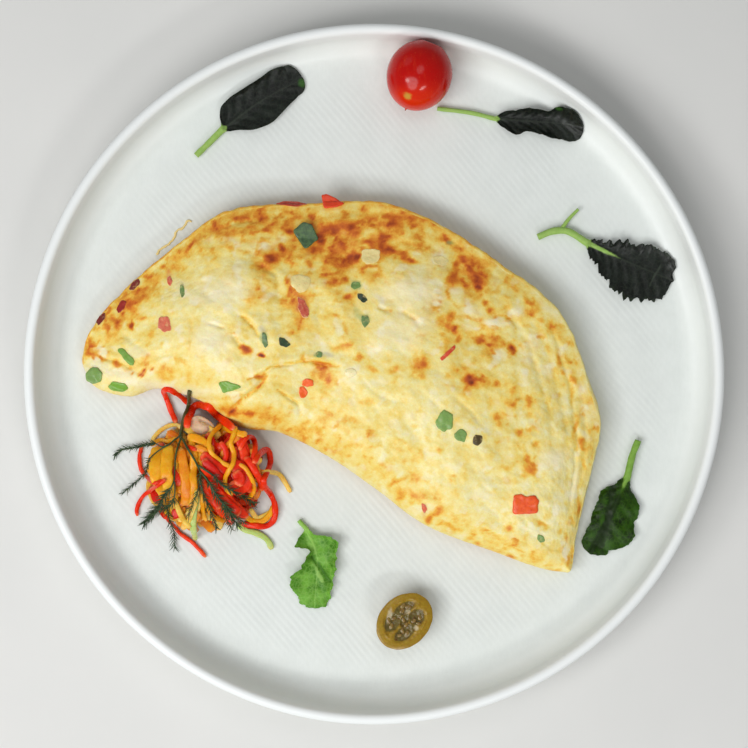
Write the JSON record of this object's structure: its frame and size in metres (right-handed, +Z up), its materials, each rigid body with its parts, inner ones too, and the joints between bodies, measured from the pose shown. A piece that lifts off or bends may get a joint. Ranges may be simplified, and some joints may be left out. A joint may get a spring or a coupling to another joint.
{
  "type": "folded omelette on a plate",
  "caption": "Half-moon vegetable omelette folded over itself on a round white upright-rim plate, with salad leaves, tomatoes, shredded vegetables and a herb sprig.",
  "frame": {"origin": "centre of the plate's underside, where the foot ring stands", "axes": "+Z up through the plate, +X towards the omelette's narrow end, +Y away from its fold"},
  "size_m": [0.27, 0.27, 0.0323],
  "materials": {
    "white_glaze": "satin white glaze over fine parallel ribs",
    "cooked_egg": "moist set egg, pale to golden with browned spots",
    "green_pepper": "moist cooked pepper",
    "red_pepper": "moist cooked pepper",
    "tomato_skin": "glossy taut skin",
    "golden_tomato": "wet cut flesh inside a glossy skin",
    "dark_leaf": "satin leaf with fine veins",
    "green_leaf": "satin leaf with fine veins",
    "light_leaf": "thin satin leaf",
    "shreds": "moist raw shreds of red pepper, carrot and green stalk",
    "dill": "fine matt fronds"
  },
  "bodies": {
    "root": {"plate": "white_glaze", "omelette": "cooked_egg", "green_pepper_dice": "green_pepper", "red_pepper_dice": "red_pepper", "tomato": "tomato_skin", "tomato_half": "golden_tomato", "leaf_top_left": "dark_leaf", "leaf_top_right": "dark_leaf", "leaf_right": "dark_leaf", "leaf_lower_right": "green_leaf", "lettuce_leaf": "light_leaf", "shredded_vegetables": "shreds", "dill_sprig": "dill"}
  },
  "joints": []
}
